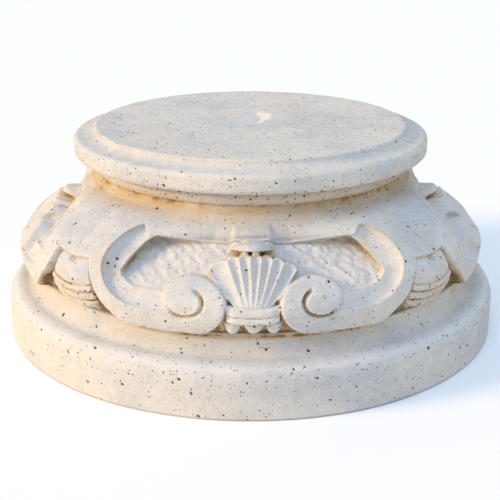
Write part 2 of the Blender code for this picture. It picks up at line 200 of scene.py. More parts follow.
# %% Volutes
eye_across, eye_down, eye_squash = 48.5, 89.0, 1.15
rim_radii, rim_edge = (33.0, 29.5, 23.0, 17.0, 14.0), (-1.2, 1.6)
groove_radii, groove_depth, groove_half_width = (15.0, 12.4, 12.2, 11.0), 3.2, 1.5
second_turn, groove_starts, groove_ends = 1.2, (1.9, 2.7), (4.5, 4.8)
volute_swell, volute_reach, volute_low = 1.2, 40, 0.8
volute_sink = ((60, 12.0), (68, 10.2), (76, 7.0), (86, 3.0), (92, 0.8), (98, 0.0))


def volute(side, down, height, sunk):
    out = eye_across - side
    rise = (eye_down - down) * eye_squash
    reach = np.hypot(rise, out)
    quarter = np.arctan2(rise, out) / (math.pi / 2)
    first = np.where(quarter < -1, quarter + 4, quarter) + 1
    rim = np.interp(first, range(5), rim_radii)
    rolled = ease(*rim_edge, rim - reach)
    level = volute_swell * dome(reach, volute_reach) - volute_low
    height = height * (1 - rolled) + level * rolled
    sunk = sunk * (1 - rolled) + pairs_at(volute_sink, down) * rolled
    late = np.where(quarter < second_turn, quarter + 4, quarter)
    groove = np.interp(late, range(2, 6), groove_radii)
    cut = groove_depth * ease(*groove_starts, late) * (1 - ease(*groove_ends, late))
    return height - cut * dome(reach - groove, groove_half_width), sunk


print("volute rim from", rim_radii[0], "down to", rim_radii[-1], "mm")

# %% [markdown]
# The shell.
# A fan of seven flutes opens upwards from a point low on the wall, like a scallop shell. Each
# flute is a hollow between two thin ridges, and its end is round. Below it two rolls tie the
# fan, and three small lobes hang from them. The ridges aren't evenly spaced, as on the real
# casting, which was modelled by hand.

# %% Shell, collar and scallops
pole_down, fan_radius, fan_half_angle = 108.0, 59.0, 40.5
ridge_angles = (-38.5, -21.0, -11.5, -1.8, 7.5, 17.0, 26.5, 38.5)
flute_depth, flute_fullness, flute_start, flute_run, flute_least = 3.4, 0.7, 14, 26.0, 0.15
tip_back, tip_swell, tip_length = 2.5, 2.6, 7.0
fan_edge, fan_side_edge = (-0.4, 1.2), 2.5
fan_sink = ((13, 0.5), (22, 3.8), (28, 6.5), (36, 8.0), (60, 9.3))
fan_bow, fan_bow_starts = 2.0, (14, 50)
collar_half_width, collar_ends, collar_end_drop, roll_bow = 19.0, (13, 20), 2.0, 1.5
collar_rolls = ((95.0, 3.7, 2.6), (101.3, 2.9, 2.0))
collar_sink = ((90, 4.6), (95, 3.4), (101, 1.2), (106, 0.0))
scallops = ((-15.0, 6.5), (0.5, 7.8), (15.0, 6.5))
scallop_top, scallop_foot, scallop_low, scallop_swell = 103.5, 113.0, 6.5, 4.5


def fan(across, down, height, sunk):
    rise = pole_down - down
    reach = np.hypot(across, rise)
    angle = np.degrees(np.arctan2(across, rise))
    ridges = np.array(ridge_angles)
    place = np.clip(np.searchsorted(ridges, angle) - 1, 0, len(ridges) - 2)
    part = np.clip((angle - ridges[place]) / np.diff(ridges)[place], 0, 1)
    scoop = np.sin(math.pi * part) ** flute_fullness
    rim = fan_radius - tip_back + tip_swell * scoop
    end = np.sqrt(np.clip((rim - reach) / tip_length, 0, 1))
    flute = flute_depth * scoop * end * np.clip((reach - flute_start) / flute_run, flute_least, 1.0)
    held = ease(*fan_edge, rim - reach) * ease(0, fan_side_edge, fan_half_angle - np.abs(angle))
    held = held * (down < collar_rolls[0][0])
    back = pairs_at(fan_sink, reach) + fan_bow * (angle / ridges[-1]) ** 2 * ease(*fan_bow_starts, reach)
    return height * (1 - held) - flute * held, sunk * (1 - held) + back * held


def collar(across, down, height, sunk):
    for middle, half, proud in collar_rolls:
        bow = middle - roll_bow * (across / collar_half_width) ** 2
        roll = proud * dome(down - bow, half) - collar_end_drop * ease(*collar_ends, np.abs(across))
        held = (np.abs(across) < collar_half_width) & (np.abs(down - bow) < half)
        height = np.where(held, roll, height)
        sunk = np.where(held, pairs_at(collar_sink, down), sunk)
    for middle, half in scallops:
        hang = dome(across - middle, half)
        tip = scallop_top + (scallop_foot - scallop_top) * hang
        held = (down > scallop_top) & (down < tip) & (hang > 0.1)
        height = np.where(held, scallop_swell * hang - scallop_low, height)
    return height, sunk


print("shell of", len(ridge_angles) - 1, "flutes,", fan_radius, "mm long")

# %% [markdown]
# The boss above each shell.
# A plain blunt block grows out of the neck as a low pad, and stands free over the niche below.
# Its sides fall off steeply, and its lower end is slightly bowed.

# %% Boss
boss_half_width, boss_side = 20.5, 3.5
boss_crest, crest_bow, boss_rise = 42.5, 4.0, 2.5
boss_foot, foot_bow, foot_edge = 50.5, 2.5, (-0.5, 2.0)
boss_sink, sink_bow, blunt_sink, blunt_reach = 9.0, 11.0, 1.5, 6
pad_top, pad_rise, pad_side, pad_proud = 14.0, 24.0, 5, 3.4


def boss(across, down, height, sunk):
    side = boss_half_width - np.abs(across)
    bow = np.clip(across / boss_half_width, -1, 1) ** 2
    foot = boss_foot - foot_bow * bow - down
    held = ease(0, boss_side, side) * ease(-boss_rise, 0, down - boss_crest - crest_bow * bow)
    held = held * ease(*foot_edge, foot)
    blunt = ease(blunt_reach, 0, foot) * blunt_sink + sink_bow * bow
    pad = pad_proud * ease(0, pad_side, side) * ease(pad_top, pad_top + pad_rise, down) * (foot > 0)
    return height * (1 - held) + pad * (1 - held), sunk * (1 - held) + (boss_sink + blunt) * held


print("boss", 2 * boss_half_width, "mm wide")

# %% [markdown]
# The hanging buds.
# At each corner a bud of nested lips hangs in a deep crevice between two scrolls. Each lip is
# a band that bows downwards at its middle and is lower than the one above it.

# %% Buds
bud_top, crevice_slant, crevice_edge, crevice_depth = 71.5, 0.15, 3, 9.5
bud_levels = (69.5, 80.5, 92.5, 103.0, 114.0)
bud_widths = (17.0, 20.5, 25.0, 28.0, 24.0)
crevice_widths = (18.4, 24.3, 31.5, 42.0, 56.0)
bud_lips = ((72.0, 94.0, -1.0), (94.0, 100.0, -1.2), (100.0, 107.0, -2.8), (107.0, 115.0, -4.6))
bud_lip_bow, bud_lip_round, bud_round = 4.0, 1.7, 3.5
notch_half_width, notch_depth, notch_ends = 3.5, 2.5, (3.5, 6)


def bud(away, down, height):
    half = np.interp(down, bud_levels, crevice_widths)
    inside = np.minimum(down - bud_top + crevice_slant * away, half - away)
    height = height - crevice_depth * ease(0, crevice_edge, inside)
    width = np.interp(down, bud_levels, bud_widths)
    curved = down + bud_lip_bow * (away / width) ** 2
    for top, foot, level in bud_lips:
        middle, reach = (top + foot) / 2, (foot - top) / 2
        round_down = bud_lip_round * (1 - dome(curved - middle, reach))
        form = level - round_down - bud_round * (1 - dome(away, width))
        held = (np.abs(curved - middle) < reach) & (away < width)
        height = np.where(held, np.maximum(form, height), height)
    ends = [bud_top + end for end in notch_ends]
    notch = dome(away, notch_half_width) * (1 - ease(*ends, down))
    return height - notch_depth * notch * (down > bud_top)


print("bud with", len(bud_lips), "lips")

# %% [markdown]
# One carved quarter.
# The pieces above are laid over each other on a fine grid, which is later bent round the axis.
# The hoods between the niches stand a little proud, with a soft valley between each two. The
# floor of the niche shows slanting strokes of the tool, and the whole wall is slightly uneven.
# Below each shell the wall is cut back between the scrolls.

# %% Grid of heights
quarter_columns = 396
hood_proud, hood_top, hood_starts = 2.2, 30, (-14, 10)
hood_valley, hood_valley_width = 1.8, 8.0
hood_valley_starts, hood_valley_ends = (18, 30), (44, 62)
niche_floor_starts, niche_floor_edge = (10, 15), (-1, 3)
stroke_cos, stroke_sin = 0.8, 0.6
stroke_long, stroke_wide, stroke_depth = 11.0, 3.2, 0.7
unevenness, uneven_waves = 0.16, ((9.0, 9), (4.0, 11))
gap_depth, gap_top = 8.0, eye_down - 8
plain_neck = (2, 9)

column_angle = np.linspace(-math.pi / quarters, math.pi / quarters, quarter_columns + 1)
across_grid, down_grid = np.meshgrid(column_angle * belly_radius, down_mm)


def relief(across, down):
    """Height over the turned outline, and sink, with each carved piece laid over the last."""
    side = np.abs(across)
    height = hood_proud * (ease(*hood_starts, down - hood_top) - 1)
    sunk = sink(side, down)
    niche = ease(*niche_floor_starts, sunk) * ease(*niche_floor_edge, down - niche_top)
    slant = (across * stroke_cos + down * stroke_sin) / stroke_long
    along = (down * stroke_cos - across * stroke_sin) / stroke_wide
    height = height + stroke_depth * niche * patches(slant, along, 4)
    height = height + stroke_depth * niche * patches(across / stroke_wide, down / stroke_wide, 7)
    for wave, seed in uneven_waves:
        height = height + unevenness * patches(across / wave, down / wave, seed)
    between_hoods = np.exp(-((half_quarter - side) / hood_valley_width) ** 2)
    between_hoods = between_hoods * ease(*hood_valley_starts, down) * (1 - ease(*hood_valley_ends, down))
    height = height - hood_valley * between_hoods
    gap = (side < eye_across) & (down > gap_top)
    height, sunk = np.where(gap, -gap_depth, height), np.where(gap, 0, sunk)
    height, sunk = volute(side, down, height, sunk)
    height, sunk = fan(across, down, height, sunk)
    height, sunk = collar(across, down, height, sunk)
    height, sunk = boss(across, down, height, sunk)
    height = bud(half_quarter - side, down, height)
    return height * ease(*plain_neck, down), sunk


height_grid, sunk_grid = relief(across_grid, down_grid)
print("relief from", round(height_grid.min(), 1), "to", round(height_grid.max(), 1), "mm")

# %% [markdown]
# Dirt, wear, painted shade, painted warm light and open holes on the carving.
# The grid keeps three values for the stone's finish. Worn says how far a place stands out from
# what is round it, which comes from blurring the heights and taking them away from themselves.
# Dirt is the opposite, and it also lies where rain doesn't wash: in the crevices beside the buds,
# between their lips, under the boss and in the gaps below the shell. The same value paints the
# neck under the round top ochre, part dirt and part painted warm light, and a dark line along the
# lowest edge, part dirt and part painted shade under the overhang. Open says how many air holes
# show, and there are more of them low on the wall, in dirt and on the buds.

# %% Dirt, wear, painted shade and light, and holes on the carving
blur_reach, sink_share = 3, 0.25
dirt_from, dirt_range = 0.25, 1.3
neck_dirt_and_warm_light = ((0.52, -4, 44), (0.35, 0, 7))
crevice_dirt_depth, low_crevice, low_crevice_gain = 22, (92, 101), 0.7
lip_dirt, lip_dirt_starts, line_dirt, line_reach = 0.32, (88, 100), 0.9, 1.7
boss_dirt, boss_dirt_starts, boss_dirt_ends = 0.6, (-3, 0), (1, 4)
gap_dirt_starts, gap_half_width, gap_levels = (96, 104), 30, (-7, -4)
edge_dirt_and_shade, edge_dirt_and_shade_starts = 0.75, (112, 121)
open_least, open_low, open_low_starts = 0.35, 0.5, (80, 108)
open_in_dirt_and_painted_light, open_on_bud, open_on_bud_starts = 0.4, 1.2, (84, 98)


def blur(values, reach):
    """Average over a square window, taking the nearest value beyond the edges."""
    for axis in (0, 1):
        padded = np.pad(values, [(reach, reach) if axis == k else (0, 0) for k in (0, 1)], mode="edge")
        total = np.cumsum(np.insert(padded, 0, 0, axis=axis), axis=axis)
        size = values.shape[axis]
        after = np.take(total, range(2 * reach + 1, 2 * reach + 1 + size), axis=axis)
        before = np.take(total, range(0, size), axis=axis)
        values = (after - before) / (2 * reach + 1)
    return values


def dirt_and_painted_light_of(across, down, height, hollows):
    """Dirt and painted light at each place, the strongest of its causes, with painted warm light on the
    neck and painted shade along the lowest edge.
    """
    side = np.abs(across)
    away = half_quarter - side
    tight = np.clip((hollows - dirt_from) / dirt_range, 0, 1)
    # The neck's ochre: part dirt under the round top, part painted warm light.
    neck = sum(most * (1 - ease(low, high, down)) for most, low, high in neck_dirt_and_warm_light)
    bud_side = np.interp(down, bud_levels, bud_widths)
    crevice_side = np.interp(down, bud_levels, crevice_widths)
    crevice = ease(-2, 2, away - bud_side) * ease(-1, 3, crevice_side - away)
    crevice = crevice * ease(0, crevice_dirt_depth, down - bud_top - 2)
    crevice = crevice * (1 + low_crevice_gain * ease(*low_crevice, down))
    curved = down + bud_lip_bow * (away / bud_side) ** 2
    lines = sum(near(curved, foot, line_reach) for _, foot, _ in bud_lips[:3])
    lips = (lip_dirt * ease(*lip_dirt_starts, down) + line_dirt * lines) * (away < bud_side + 1)
    below = down - boss_foot
    under_boss = boss_dirt * (side < boss_half_width)
    under_boss = under_boss * ease(*boss_dirt_starts, below) * (1 - ease(*boss_dirt_ends, below))
    gaps = ease(*gap_dirt_starts, down) * (side < gap_half_width) * (1 - ease(*gap_levels, height))
    # The line along the lowest edge: part dirt, part painted shade under the overhang.
    edge = edge_dirt_and_shade * ease(*edge_dirt_and_shade_starts, down)
    return np.maximum.reduce([tight, neck, crevice, lips, under_boss, gaps, edge])


hollows = blur(height_grid - sink_share * sunk_grid, blur_reach) - height_grid + sink_share * sunk_grid
dirt_and_painted_light_grid = dirt_and_painted_light_of(across_grid, down_grid, height_grid, hollows)
worn_grid = np.clip(-hollows, 0, 1)
on_bud = half_quarter - np.abs(across_grid) < np.interp(down_grid, bud_levels, crevice_widths)
open_grid = open_least + open_low * ease(*open_low_starts, down_grid) + open_in_dirt_and_painted_light * dirt_and_painted_light_grid
open_grid = open_grid + open_on_bud * on_bud * ease(*open_on_bud_starts, down_grid)
print("dirt covers", round(100 * (dirt_and_painted_light_grid > 0.5).mean(), 1), "% of the carving")

# %% [markdown]
# From heights to a mesh.
# Each grid point moves out along the outline's normal. Below the belly the move is level, so
# that the overhang stays open. Then it sinks straight back along the quarter's axis, and a
# little downwards. Two closing rows run in to the axis at each end, inside the top and the
# foot, so that the finished body is a closed shell.

# %% Mesh of one quarter
sink_out, sink_down = 0.94, 0.34
end_radii, end_levels = ((0, 127.0), (169.5, 0)), ((148.6, 148.6), (49.7, 49.7))

tangent = np.gradient(body_outline, axis=0)
normal = np.column_stack([-tangent[:, 1], np.maximum(tangent[:, 0], 0)])
normal /= np.hypot(*normal.T)[:, None]


def close_ends(grid, above=(0, 0), below=(0, 0)):
    """Adds two rows above and two below: a ring inside the next piece, and the axis."""
    rows = [np.full((1, grid.shape[1]), value) for value in (*above, *below)]
    return np.vstack([*rows[:2], grid, *rows[2:]])


radius_grid = body_outline[:, 0, None] + height_grid * normal[:, 0, None]
level_grid = body_outline[:, 1, None] + height_grid * normal[:, 1, None]
level_grid -= sink_down * sunk_grid
back_grid = close_ends(sink_out * sunk_grid)
radius_grid = close_ends(radius_grid, *end_radii)
level_grid = close_ends(level_grid, *end_levels)


def grid_mesh(name, radius, level, back, angle, values):
    """A mesh from rows of points round the axis, with named values on its points."""
    rows, columns = radius.shape
    x, y = radius * np.sin(angle), back - radius * np.cos(angle)
    points = np.stack([x, y, level], axis=-1).reshape(-1, 3) * MM
    corner = (np.arange(rows - 1)[:, None] * columns + np.arange(columns - 1)).ravel()
    faces = np.column_stack([corner, corner + columns, corner + columns + 1, corner + 1])
    mesh = bpy.data.meshes.new(name)
    mesh.from_pydata(points, [], faces)
    for label, grid in values.items():
        attribute = mesh.attributes.new(label, "FLOAT", "POINT")
        attribute.data.foreach_set("value", grid.astype(np.float32).ravel())
    return mesh


finish_grids = {"dirt_and_painted_light": dirt_and_painted_light_grid, "wear_and_highlight": worn_grid, "open": open_grid}
finish_grids = {label: close_ends(grid) for label, grid in finish_grids.items()}
quarter_mesh = grid_mesh("carved_quarter", radius_grid, level_grid, back_grid, column_angle, finish_grids)
carved_body = bpy.data.objects.new("carved_body", quarter_mesh)
bpy.context.scene.collection.objects.link(carved_body)
print("quarter mesh with", len(quarter_mesh.polygons), "faces")

# %% [markdown]
# Node trees.
# What repeats or follows a rule is made with Geometry Nodes. A tree is a list of nodes and
# links, so two helpers keep the script short: one makes a tree with named inputs, the other
# adds a node and fills its sockets with values or with other nodes' outputs. The second helper
# serves the stone's material too.

# %% Helpers for node trees


def new_tree(name, inputs):
    """A Geometry Nodes tree whose inputs are (name, kind) pairs after the geometry."""
    tree = bpy.data.node_groups.new(name, "GeometryNodeTree")
    tree.is_modifier = True
    tree.interface.new_socket("Geometry", in_out="OUTPUT", socket_type="NodeSocketGeometry")
    for label, kind in (("Geometry", "Geometry"), *inputs):
        tree.interface.new_socket(label, in_out="INPUT", socket_type="NodeSocket" + kind)
    return tree, tree.nodes.new("NodeGroupInput").outputs, tree.nodes.new("NodeGroupOutput").inputs


def add(tree, kind, inputs=None, **settings):
    """Adds a node and returns its outputs."""
    node = tree.nodes.new(kind)
    for key, value in settings.items():
        setattr(node, key, value)
    for key, value in (inputs or {}).items():
        if isinstance(value, bpy.types.NodeSocket):
            tree.links.new(value, node.inputs[key])
        else:
            node.inputs[key].default_value = value
    return node.outputs


def use_tree(obj, tree, values):
    """Puts the tree on an object, with its inputs set by socket identifier."""
    modifier = obj.modifiers.new(tree.name, "NODES")
    modifier.node_group = tree
    for item in tree.interface.items_tree:
        if item.in_out == "INPUT" and item.name in values:
            modifier[item.identifier] = values[item.name]
    return modifier


print("helpers ready")

# %% [markdown]
# The stone.
# Pale cast stone is mostly lime and sand: cream where it is dry, greyer in patches, speckled
# with sand and with small round air holes, and stained brown where rain leaves dirt. A picture
# of stone would stretch over the carving, so the colour is made from noise in object space,
# which is the same size everywhere. The values kept on the mesh say where dirt and wear go, and
# also where light and shade are painted: dark lines under the body, the band and the bead are
# part painted shade, the neck's ochre is part painted warm light, and the pale band on the
# foot's rounded edge and the pale pocket are painted highlights. The smallest holes are painted:
# one for some of the cells of a pattern, and a weak noise moves the pattern, so that the holes
# aren't perfectly round.

# %% Material: cast stone
cream, grey = (0.655, 0.607, 0.545, 1), (0.54, 0.524, 0.507, 1)
sand_dark, sand_light = (0.42, 0.35, 0.27, 1), (0.765, 0.738, 0.682, 1)
ochre, earth, hole_brown = (0.585, 0.42, 0.22, 1), (0.17, 0.10, 0.045, 1), (0.075, 0.05, 0.032, 1)

cast_stone = bpy.data.materials.new("cast_stone")
cast_stone.use_nodes = True
stone = cast_stone.node_tree
shader = stone.nodes["Principled BSDF"]
shader.inputs["Specular IOR Level"].default_value = 0.25
place = add(stone, "ShaderNodeTexCoord")["Object"]


def noise(scale, detail=3.0, roughness=0.55, distortion=0.0):
    return add(stone, "ShaderNodeTexNoise", {
        "Vector": place, "Scale": scale, "Detail": detail, "Roughness": roughness, "Distortion": distortion,
    })["Fac"]


def between(value, low, high, out_low=0.0, out_high=1.0):
    return add(stone, "ShaderNodeMapRange", {
        "Value": value, "From Min": low, "From Max": high, "To Min": out_low, "To Max": out_high,
    }, interpolation_type="SMOOTHSTEP")["Result"]


def math_of(operation, a, b=0.0):
    return add(stone, "ShaderNodeMath", {0: a, 1: b}, operation=operation)[0]


def mixed(amount, a, b, kind="MIX"):
    return add(stone, "ShaderNodeMix", {0: amount, 6: a, 7: b}, data_type="RGBA", blend_type=kind)[2]


def stored(name):
    return add(stone, "ShaderNodeAttribute", attribute_name=name)["Fac"]


wobble_size = 1.6 * MM
wobble = add(stone, "ShaderNodeTexNoise", {"Vector": place, "Scale": 620.0, "Detail": 1.0})["Color"]
wobble = add(stone, "ShaderNodeVectorMath", {0: wobble, 1: (0.5, 0.5, 0.5)}, operation="SUBTRACT")[0]
wobble = add(stone, "ShaderNodeVectorMath", {0: wobble, "Scale": wobble_size}, operation="SCALE")[0]
uneven_place = add(stone, "ShaderNodeVectorMath", {0: place, 1: wobble}, operation="ADD")[0]


def air_holes(scale, smallest, largest, share):
    """Roundish holes of several sizes in a share of a pattern's cells, more where open is high."""
    cell = add(stone, "ShaderNodeTexVoronoi", {"Vector": uneven_place, "Scale": scale, "Randomness": 1.0})
    colour = add(stone, "ShaderNodeSeparateColor", {"Color": cell["Color"]})
    chosen = math_of("LESS_THAN", colour[0], math_of("MULTIPLY", stored("open"), share))
    size = between(colour[1], 0.0, 1.0, smallest, largest)
    inside = math_of("DIVIDE", math_of("SUBTRACT", size, cell["Distance"]), size)
    return math_of("MULTIPLY", chosen, between(inside, 0.0, 0.35))


tone = mixed(between(noise(14, 4), 0.42, 0.66), cream, grey)
tone = mixed(between(noise(120, 4), 0.35, 0.75, 0.0, 0.35), tone, sand_light)
tone = mixed(between(noise(700, 2), 0.5, 0.8, 0.0, 0.6), tone, sand_dark)
# Pale where worn; on the foot's rounded edge and in the pocket this paleness is a painted highlight.
tone = mixed(between(stored("wear_and_highlight"), 0.1, 0.9, 0.0, 0.35), tone, sand_light)
# Ochre and dark earth for dirt; along the lowest edge, under the band and under the bead it is partly
# painted shade, and on the neck partly painted warm light.
soil_and_painted_light = math_of("MULTIPLY", stored("dirt_and_painted_light"), between(noise(60, 4), 0.3, 0.6, 0.45, 1.0))
tone = mixed(between(soil_and_painted_light, 0.05, 0.75, 0.0, 0.85), tone, ochre)
thick_soil_and_painted_light = math_of("MULTIPLY", soil_and_painted_light, between(noise(150, 4), 0.3, 0.6, 0.6, 1.0))
tone = mixed(between(thick_soil_and_painted_light, 0.5, 1.0, 0.0, 0.9), tone, earth)
stain = between(noise(22, 5, 0.6, 0.4), 0.56, 0.7)
stain = math_of("MULTIPLY", stain, between(noise(160, 4), 0.4, 0.62, 0.0, 0.35))
tone = mixed(stain, tone, ochre)
holes = math_of("MAXIMUM", air_holes(230, 0.07, 0.21, 0.26), air_holes(440, 0.12, 0.28, 0.46))
holes = math_of("MAXIMUM", holes, between(stored("pit"), 0.1, 0.5))
tone = mixed(math_of("MULTIPLY", holes, 0.95), tone, hole_brown)
stone.links.new(tone, shader.inputs["Base Color"])
shader.inputs["Roughness"].default_value = 0.92
print("stone colour with", len(stone.nodes), "nodes")

# %% [markdown]
# The grain of the stone.
# Sand grains and the smallest holes are finer than the mesh, so they only tilt the light. The
# same noise in object space drives them as bump, and the painted holes lie low in it.

# %% Grain and holes as bump
fine_grain, coarse_grain, hole_low = 0.30, 0.55, 1.3
bump_strength, bump_height = 0.7, 0.9 * MM
grain = math_of("MULTIPLY", noise(900, 2), fine_grain)
grain = math_of("ADD", grain, math_of("MULTIPLY", noise(220, 3), coarse_grain))
surface = math_of("SUBTRACT", grain, math_of("MULTIPLY", holes, hole_low))
bump = add(stone, "ShaderNodeBump", {"Height": surface, "Strength": bump_strength, "Distance": bump_height})
stone.links.new(bump["Normal"], shader.inputs["Normal"])
print("stone material with", len(stone.nodes), "nodes")

# %% [markdown]
# Four quarters round the axis.
# The carving repeats every quarter turn. An Array modifier could repeat it round an empty, but
# nodes say it plainly: four points at the axis, one copy of the quarter on each, each turned
# by its own number. The copies are made real, and their shared edges are merged.

# %% Tree: repeat round the axis
repeat_inputs = (("Copies", "Int"), ("Merge", "Float"), ("Stone", "Material"))
merge_distance = 0.02 * MM
repeat, given, made = new_tree("repeat_round_axis", repeat_inputs)
spots = add(repeat, "GeometryNodeMeshLine", {"Count": given["Copies"], "Offset": (0, 0, 0)})["Mesh"]
share = add(repeat, "ShaderNodeMath", {0: 2 * math.pi, 1: given["Copies"]}, operation="DIVIDE")[0]
index = add(repeat, "GeometryNodeInputIndex")[0]
turn = add(repeat, "ShaderNodeMath", {0: share, 1: index}, operation="MULTIPLY")[0]
rotation = add(repeat, "ShaderNodeCombineXYZ", {"Z": turn})[0]
copies = add(repeat, "GeometryNodeInstanceOnPoints", {
    "Points": spots, "Instance": given["Geometry"], "Rotation": rotation,
})[0]
whole = add(repeat, "GeometryNodeRealizeInstances", {0: copies})[0]
whole = add(repeat, "GeometryNodeMergeByDistance", {"Geometry": whole, "Distance": given["Merge"]})[0]
whole = add(repeat, "GeometryNodeSetMaterial", {"Geometry": whole, "Material": given["Stone"]})[0]
repeat.links.new(whole, made[0])
use_tree(carved_body, repeat, {"Copies": quarters, "Merge": merge_distance, "Stone": cast_stone})
print("quarters repeated", quarters, "times")

# %% [markdown]
# Weathering.
# The real surface is never quite even: it swells and dips by fractions of a millimetre, and
# air bubbles at the mould's face left pits. A tree scatters points over the surface, more of
# them where open is high, and presses the mesh in round each one. Each pit has its own
# size. The tree also moves the surface by a soft noise, mostly inwards, so that the piece
# stays inside its measured size.

# %% Tree: weathering
weather, given, made = new_tree("weathering", (
    ("Pits per m2", "Float"), ("Smallest", "Float"), ("Largest", "Float"), ("Depth", "Float"),
    ("Swell", "Float"), ("Seed", "Int"), ("Stone", "Material"),
))
solid = given["Geometry"]


def field(kind, inputs=None, **settings):
    return add(weather, kind, inputs, **settings)


def calc(operation, a, b=0.0):
    return field("ShaderNodeMath", {0: a, 1: b}, operation=operation)[0]


def stored_on(name):
    return field("GeometryNodeInputNamedAttribute", {"Name": name})[0]


swell_middle = 0.85
density = calc("MULTIPLY", given["Pits per m2"], stored_on("open"))
points = field("GeometryNodeDistributePointsOnFaces", {
    "Mesh": solid, "Density": density, "Seed": given["Seed"],
})["Points"]
size = field("FunctionNodeRandomValue", {
    "Min": given["Smallest"], "Max": given["Largest"], "Seed": given["Seed"],
})["Value"]
points = field("GeometryNodeStoreNamedAttribute", {"Geometry": points, "Name": "size", "Value": size})[0]
here = field("GeometryNodeInputPosition")[0]
nearest = field("GeometryNodeSampleNearest", {
    "Geometry": points, "Sample Position": here,
}, domain="POINT")[0]
centre = field("GeometryNodeSampleIndex", {
    "Geometry": points, "Value": field("GeometryNodeInputPosition")[0], "Index": nearest,
}, data_type="FLOAT_VECTOR")[0]
pit_size = field("GeometryNodeSampleIndex", {
    "Geometry": points, "Value": stored_on("size"), "Index": nearest,
})[0]
gap = field("ShaderNodeVectorMath", {0: here, 1: centre}, operation="DISTANCE")["Value"]
inside = field("ShaderNodeMapRange", {
    "Value": calc("DIVIDE", gap, pit_size), "From Min": 1.0, "From Max": 0.45,
}, interpolation_type="SMOOTHSTEP")["Result"]
bumps = field("ShaderNodeTexNoise", {"Vector": here, "Scale": 45.0, "Detail": 2.0})["Fac"]
rise = calc("MULTIPLY", calc("SUBTRACT", bumps, swell_middle), given["Swell"])
pit_depth = calc("MULTIPLY", given["Depth"], calc("DIVIDE", pit_size, given["Largest"]))
press = calc("MULTIPLY", inside, pit_depth)
shift = field("ShaderNodeVectorMath", {
    0: field("GeometryNodeInputNormal")[0], "Scale": calc("SUBTRACT", rise, press),
}, operation="SCALE")[0]
solid = field("GeometryNodeStoreNamedAttribute", {"Geometry": solid, "Name": "pit", "Value": inside})[0]
solid = field("GeometryNodeSetPosition", {"Geometry": solid, "Offset": shift})[0]
solid = field("GeometryNodeRealizeInstances", {0: solid})[0]
solid = field("GeometryNodeSetMaterial", {"Geometry": solid, "Material": given["Stone"]})[0]
weather.links.new(solid, made[0])
print("weathering tree with", len(weather.nodes), "nodes")

# %% [markdown]
# The foot slab.
# The foot is a thick round slab with a well rounded upper edge, and a low hollow riser
# stands on it under the body. It is turned: its outline is drawn on one side and spun round
# the axis by a Screw modifier, with points close enough to carry the pits.

# %% Turned outlines
turned_spacing = 1.05


def quarter_arc(start, end, steps, hollow):
    """Points of a quarter ellipse from start to end, leaving start upright where it is hollow."""
    points = []
    for i in range(steps + 1):
        turn = math.pi / 2 * i / steps
        out = 1 - math.cos(turn) if hollow else math.sin(turn)
        fall = math.sin(turn) if hollow else 1 - math.cos(turn)
        points.append((start[0] + (end[0] - start[0]) * out, start[1] + (end[1] - start[1]) * fall))
    return points


def with_spacing(points, spacing):
    """Splits each stretch of an outline so that its points are close."""
    fine = [points[0]]
    for a, b in zip(points, points[1:]):
        parts = max(1, round(math.dist(a, b) / spacing))
        for i in range(1, parts + 1):
            fine.append(tuple(a[k] + (b[k] - a[k]) * i / parts for k in (0, 1)))
    return fine


def turned(name, outline, steps):
    """A turned solid from an outline that runs from the axis at the top to the axis below."""
    mesh = bpy.data.meshes.new(name)
    edges = [(i, i + 1) for i in range(len(outline) - 1)]
    mesh.from_pydata([(r * MM, 0.0, z * MM) for r, z in outline], edges, [])
    blank = bpy.data.objects.new(name + "_blank", mesh)
    bpy.context.scene.collection.objects.link(blank)
    screw = blank.modifiers.new("turn", "SCREW")
    screw.steps = screw.render_steps = steps
    screw.use_merge_vertices = True
    screw.merge_threshold = 0.01 * MM
    solid = plain_mesh(blank)
    bpy.data.objects.remove(blank)
    obj = bpy.data.objects.new(name, solid)
    bpy.context.scene.collection.objects.link(obj)
    return obj


def plain_mesh(obj):
    """The object's evaluated mesh as a plain one."""
    graph = bpy.context.evaluated_depsgraph_get()
    return bpy.data.meshes.new_from_object(obj.evaluated_get(graph))


foot_height, foot_round, foot_arris, foot_steps = 41.7, 13.5, 1.5, 1256
riser_foot, riser_top, riser_height = 194.5, 185.5, 16.0
riser_level = foot_height + riser_height
round_start, round_end = (foot_radius - foot_round, foot_height), (foot_radius, foot_height - foot_round)
outline = quarter_arc((riser_top, riser_level), (riser_foot, foot_height), 14, True)
outline += quarter_arc(round_start, round_end, 18, False)
outline += [(foot_radius, foot_arris), (foot_radius - foot_arris, 0.0)]
hidden_top = [(0.0, riser_level - 8), (120.0, riser_level - 8)]
hidden_top += [(176.0, riser_level - 2), (178.0, riser_level)]
hidden_foot = [(205.0, 0.0), (150.0, 0.0), (0.0, 0.0)]
outline = hidden_top + with_spacing(outline, turned_spacing) + hidden_foot
foot_slab = turned("foot_slab", outline, foot_steps)
print("foot slab with", len(foot_slab.data.polygons), "faces")

# %% [markdown]
# The round top.
# The top has a flat seat, a small hollow, a rounded band and a bead where it meets the neck.
# It is turned as the foot is, with close points all over the seat.

